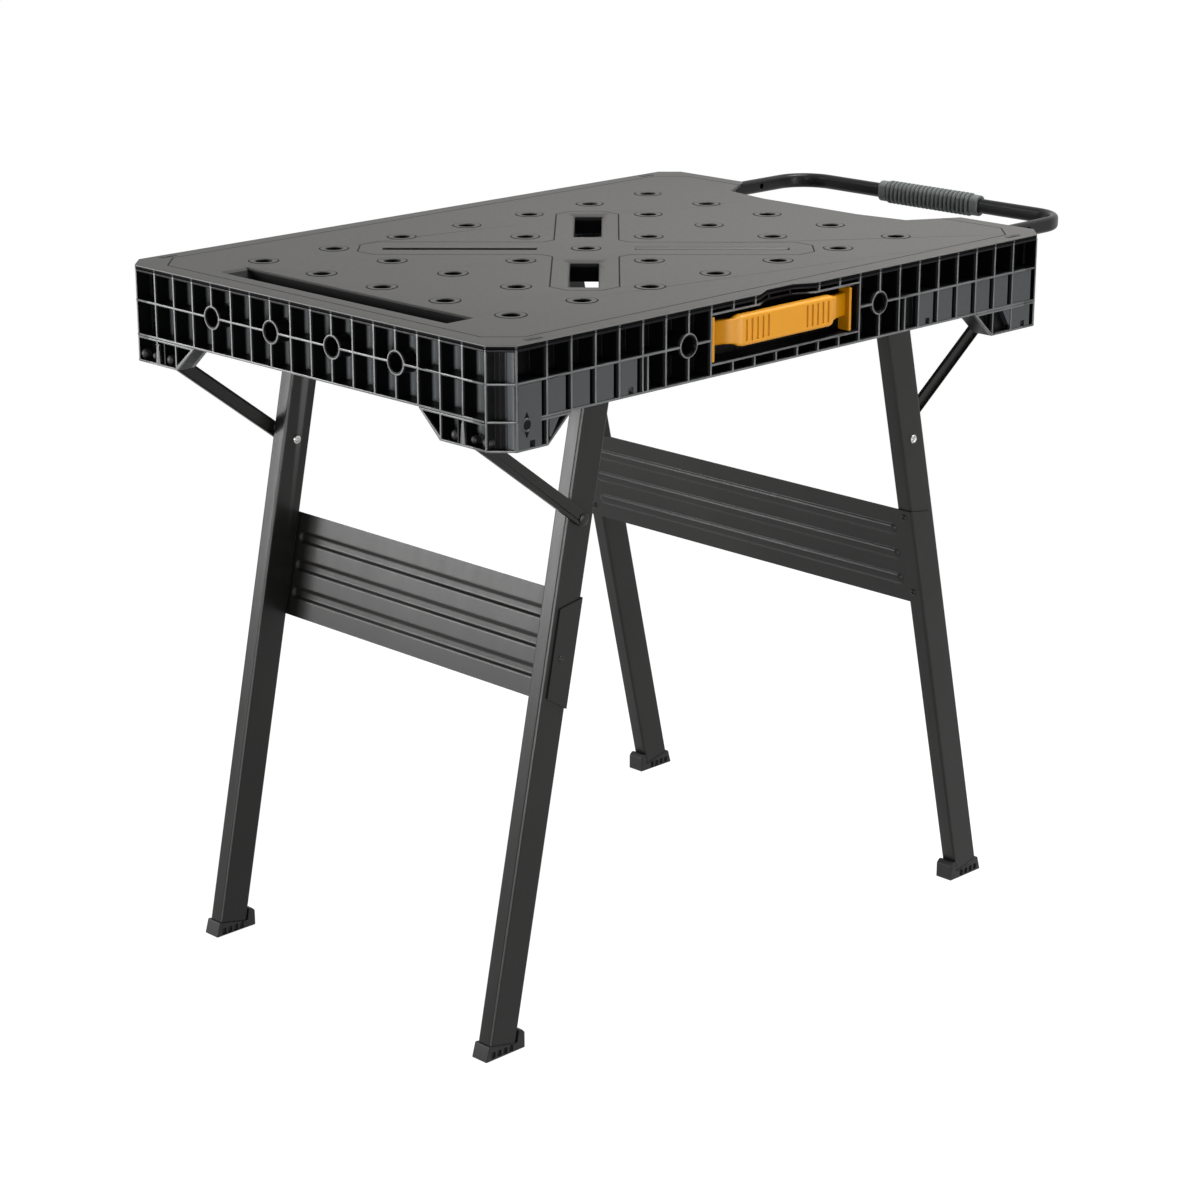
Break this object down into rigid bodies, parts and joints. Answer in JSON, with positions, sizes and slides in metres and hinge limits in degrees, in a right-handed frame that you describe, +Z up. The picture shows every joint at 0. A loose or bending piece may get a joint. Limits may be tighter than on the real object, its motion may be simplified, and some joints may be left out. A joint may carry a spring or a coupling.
{
  "type": "folding workbench",
  "caption": "Folding workbench: moulded deck with dog holes, slots and a tool tray on ribbed skirts, splayed steel leg frames that fold under it, a carry handle and a pull bar.",
  "frame": {"origin": "on the floor under the middle of the whole bench with the pull bar drawn out", "axes": "+X along the bench towards the pull bar, +Y towards the rear skirt, +Z up"},
  "size_m": [1.0228, 0.608, 0.78],
  "materials": {
    "deck_plastic": "fine grained mid grey moulding",
    "black_plastic": "satin black moulding",
    "yellow_plastic": "satin amber yellow moulding",
    "black_steel": "satin black powder coat",
    "bar_steel": "satin black powder coat",
    "grip_rubber": "matte grey",
    "bare_steel": "bright zinc",
    "foot_plastic": "matte black",
    "shoe_plastic": "matte dark grey"
  },
  "bodies": {
    "table": {"deck": "deck_plastic", "deck_ribs": "black_plastic", "front_skirt": "black_plastic", "rear_skirt": "black_plastic", "left_end_skirt": "black_plastic", "right_end_skirt": "black_plastic", "corner_front_left": "black_plastic", "corner_rear_left": "black_plastic", "corner_front_right": "black_plastic", "corner_rear_right": "black_plastic", "carry_handle": "yellow_plastic", "left_rail_front": "shoe_plastic", "left_rail_rear": "shoe_plastic", "right_rail_front": "shoe_plastic", "right_rail_rear": "shoe_plastic", "bar_guide_front": "shoe_plastic", "bar_guide_rear": "shoe_plastic", "left_lug_pin_front": "bare_steel", "left_lug_pin_rear": "bare_steel", "right_lug_pin_front": "bare_steel", "right_lug_pin_rear": "bare_steel"},
    "bar": {"pull_bar": "bar_steel", "bar_grip": "grip_rubber"},
    "left_glide": {"left_shoe_front": "shoe_plastic", "left_shoe_rear": "shoe_plastic", "left_top_pin_front": "bare_steel", "left_top_pin_rear": "bare_steel"},
    "left_legs": {"left_leg_front": "black_steel", "left_leg_rear": "black_steel", "left_foot_front": "foot_plastic", "left_foot_rear": "foot_plastic", "left_panel": "black_steel"},
    "left_brace_front": {"left_brace_front": "black_steel", "left_brace_rivet_front": "black_steel"},
    "left_brace_rear": {"left_brace_rear": "black_steel", "left_brace_rivet_rear": "black_steel"},
    "right_glide": {"right_shoe_front": "shoe_plastic", "right_shoe_rear": "shoe_plastic", "right_top_pin_front": "bare_steel", "right_top_pin_rear": "bare_steel"},
    "right_legs": {"right_leg_front": "black_steel", "right_leg_rear": "black_steel", "right_foot_front": "foot_plastic", "right_foot_rear": "foot_plastic", "right_panel": "black_steel"},
    "right_brace_front": {"right_brace_front": "black_steel", "right_brace_rivet_front": "black_steel"},
    "right_brace_rear": {"right_brace_rear": "black_steel", "right_brace_rivet_rear": "black_steel"}
  },
  "joints": [
    {"name": "bar_slide", "type": "slide", "parent": "table", "child": "bar", "axis": [1, 0, 0], "range_m": [-0.16, 0]},
    {"name": "right_leg_fold", "type": "hinge", "parent": "right_glide", "child": "right_legs", "pos_m": [0.11161, 0.004, 0.7275], "axis": [0, 1, 0], "range_deg": [0, 102.9]},
    {"name": "right_glide_slide", "type": "slide", "parent": "table", "child": "right_glide", "axis": [1, 0, 0], "range_m": [0, 0.171]},
    {"name": "left_leg_fold", "type": "hinge", "parent": "left_glide", "child": "left_legs", "pos_m": [-0.31334, 0.004, 0.716], "axis": [0, -1, 0], "range_deg": [0, 101.7]},
    {"name": "left_glide_slide", "type": "slide", "parent": "table", "child": "left_glide", "axis": [-1, 0, 0], "range_m": [0, 0.15]},
    {"name": "left_brace_front_turn", "type": "hinge", "parent": "table", "child": "left_brace_front", "pos_m": [-0.4954, -0.236, 0.6795], "axis": [0, -1, 0], "range_deg": [0, 48.1]},
    {"name": "left_brace_rear_turn", "type": "hinge", "parent": "table", "child": "left_brace_rear", "pos_m": [-0.4954, 0.244, 0.6795], "axis": [0, -1, 0], "range_deg": [0, 48.1]},
    {"name": "right_brace_front_turn", "type": "hinge", "parent": "table", "child": "right_brace_front", "pos_m": [0.2996, -0.236, 0.6795], "axis": [0, 1, 0], "range_deg": [0, 51.7]},
    {"name": "right_brace_rear_turn", "type": "hinge", "parent": "table", "child": "right_brace_rear", "pos_m": [0.2996, 0.244, 0.6795], "axis": [0, 1, 0], "range_deg": [0, 51.7]}
  ],
  "couplings": [
    {"joint": "left_leg_fold", "follows": "right_leg_fold", "ratio": 0.9883},
    {"joint": "right_glide_slide", "follows": "right_leg_fold", "m_per_rad": 0.0952},
    {"joint": "left_glide_slide", "follows": "right_leg_fold", "m_per_rad": 0.0835},
    {"joint": "left_brace_front_turn", "follows": "right_leg_fold", "ratio": 0.4672},
    {"joint": "left_brace_rear_turn", "follows": "right_leg_fold", "ratio": 0.4672},
    {"joint": "right_brace_front_turn", "follows": "right_leg_fold", "ratio": 0.502},
    {"joint": "right_brace_rear_turn", "follows": "right_leg_fold", "ratio": 0.502}
  ]
}
